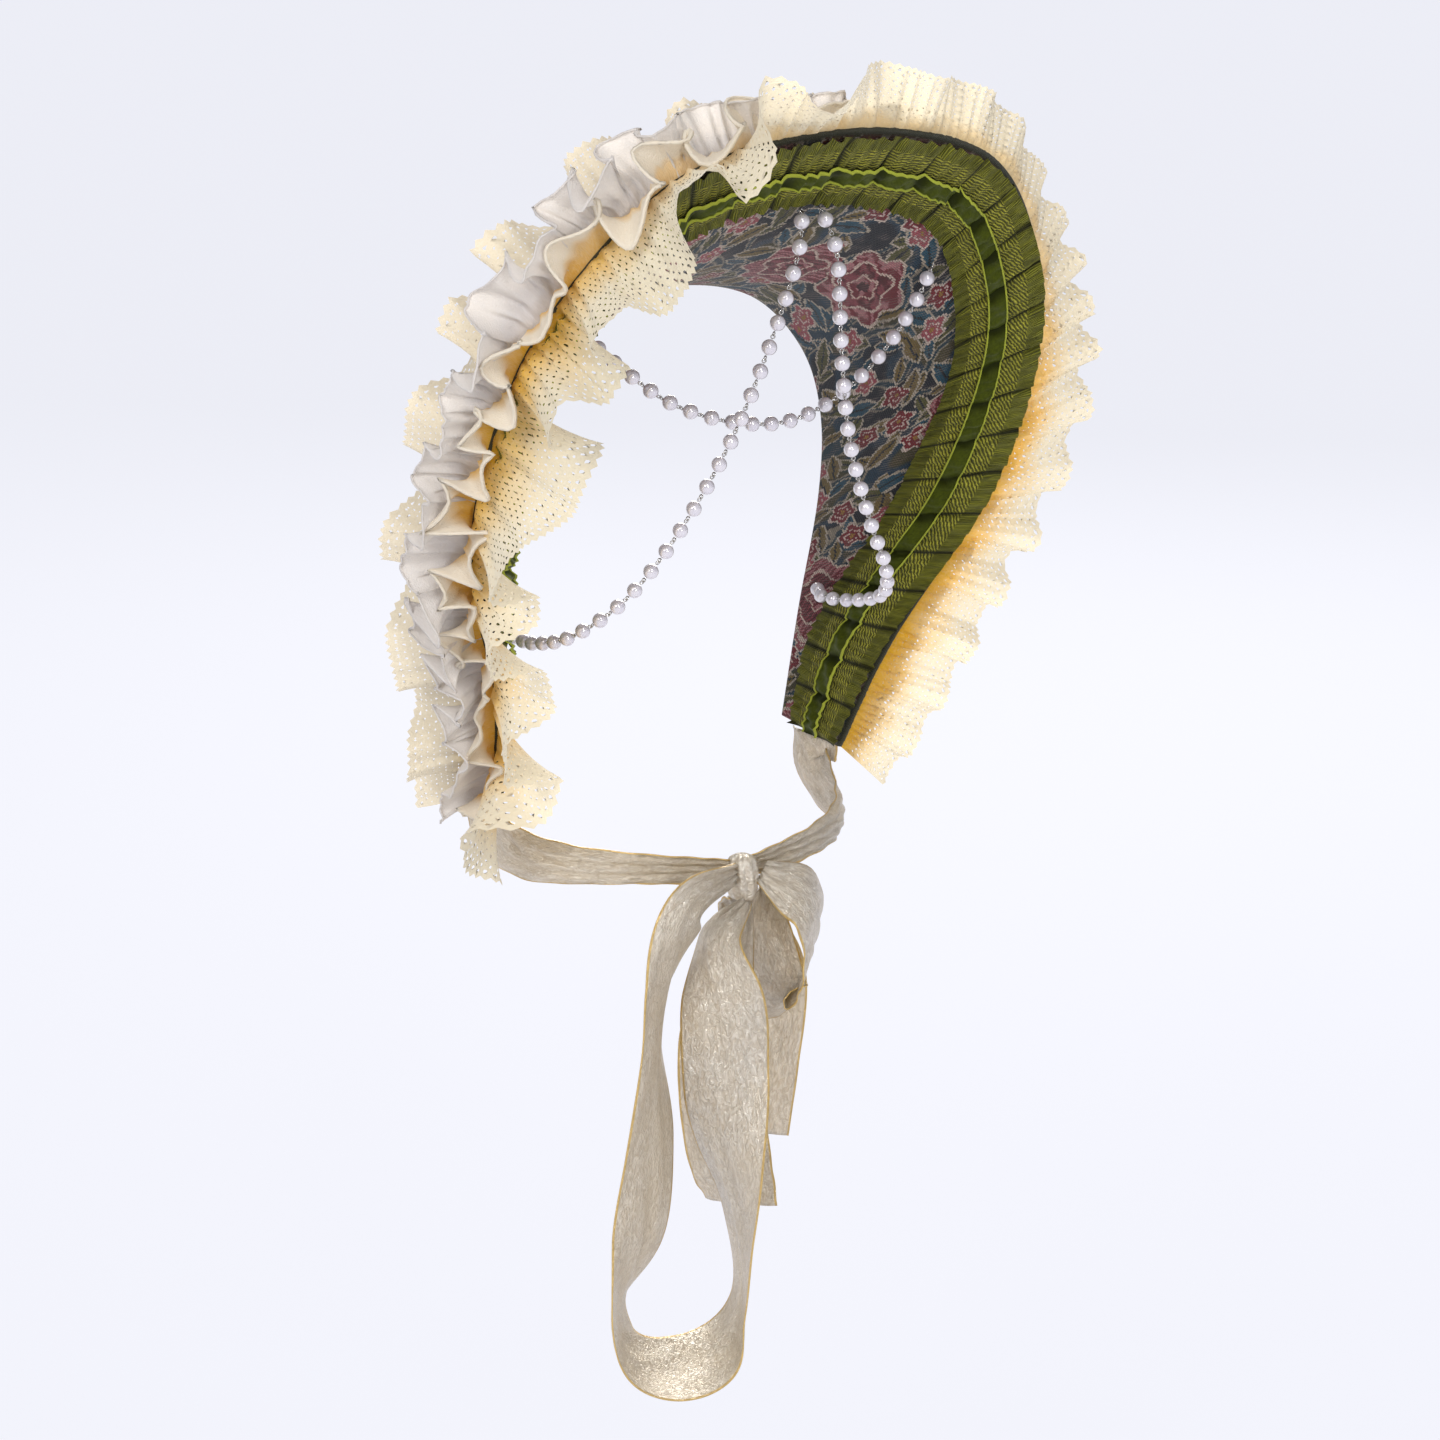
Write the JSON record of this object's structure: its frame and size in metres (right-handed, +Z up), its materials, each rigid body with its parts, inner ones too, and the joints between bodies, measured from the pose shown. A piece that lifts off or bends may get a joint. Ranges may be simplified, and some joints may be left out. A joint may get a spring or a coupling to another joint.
{
  "type": "lace bonnet",
  "caption": "Stiff half bonnet that flares round the face, with lace ruffles on the rim, a pleated trim, strings of pearls and ribbons tied in a bow under the chin.",
  "frame": {"origin": "the middle of the brim's back edge, where it sits on the crown of the head", "axes": "+Z up; the wearer faces -Y; +X is the wearer's left"},
  "size_m": [0.3289, 0.225, 0.5794],
  "materials": {
    "tapestry": "matt woven jacquard",
    "pleated_trim": "pleated, slight sheen",
    "velvet": "velvet",
    "cotton_lace": "matt cotton",
    "cream_frill": "matt cotton",
    "white_ruffle": "matt cotton",
    "pearl": "pearlescent, on silver wire",
    "satin_ribbon": "crinkled satin"
  },
  "bodies": {
    "root": {"brim": "tapestry", "green_trim": "pleated_trim", "velvet_ribbon": "velvet", "lace_front": "cotton_lace", "heading_frill": "cream_frill", "back_ruffle": "white_ruffle", "lace_back": "cotton_lace", "pearl_swag": "pearl", "pearl_strand_right": "pearl", "pearl_strand_left": "pearl", "chin_ribbon_right": "satin_ribbon", "chin_ribbon_left": "satin_ribbon", "bow_knot": "satin_ribbon", "bow_loop_long": "satin_ribbon", "bow_loop_short": "satin_ribbon", "bow_tail_long": "satin_ribbon", "bow_tail_short": "satin_ribbon"}
  },
  "joints": []
}
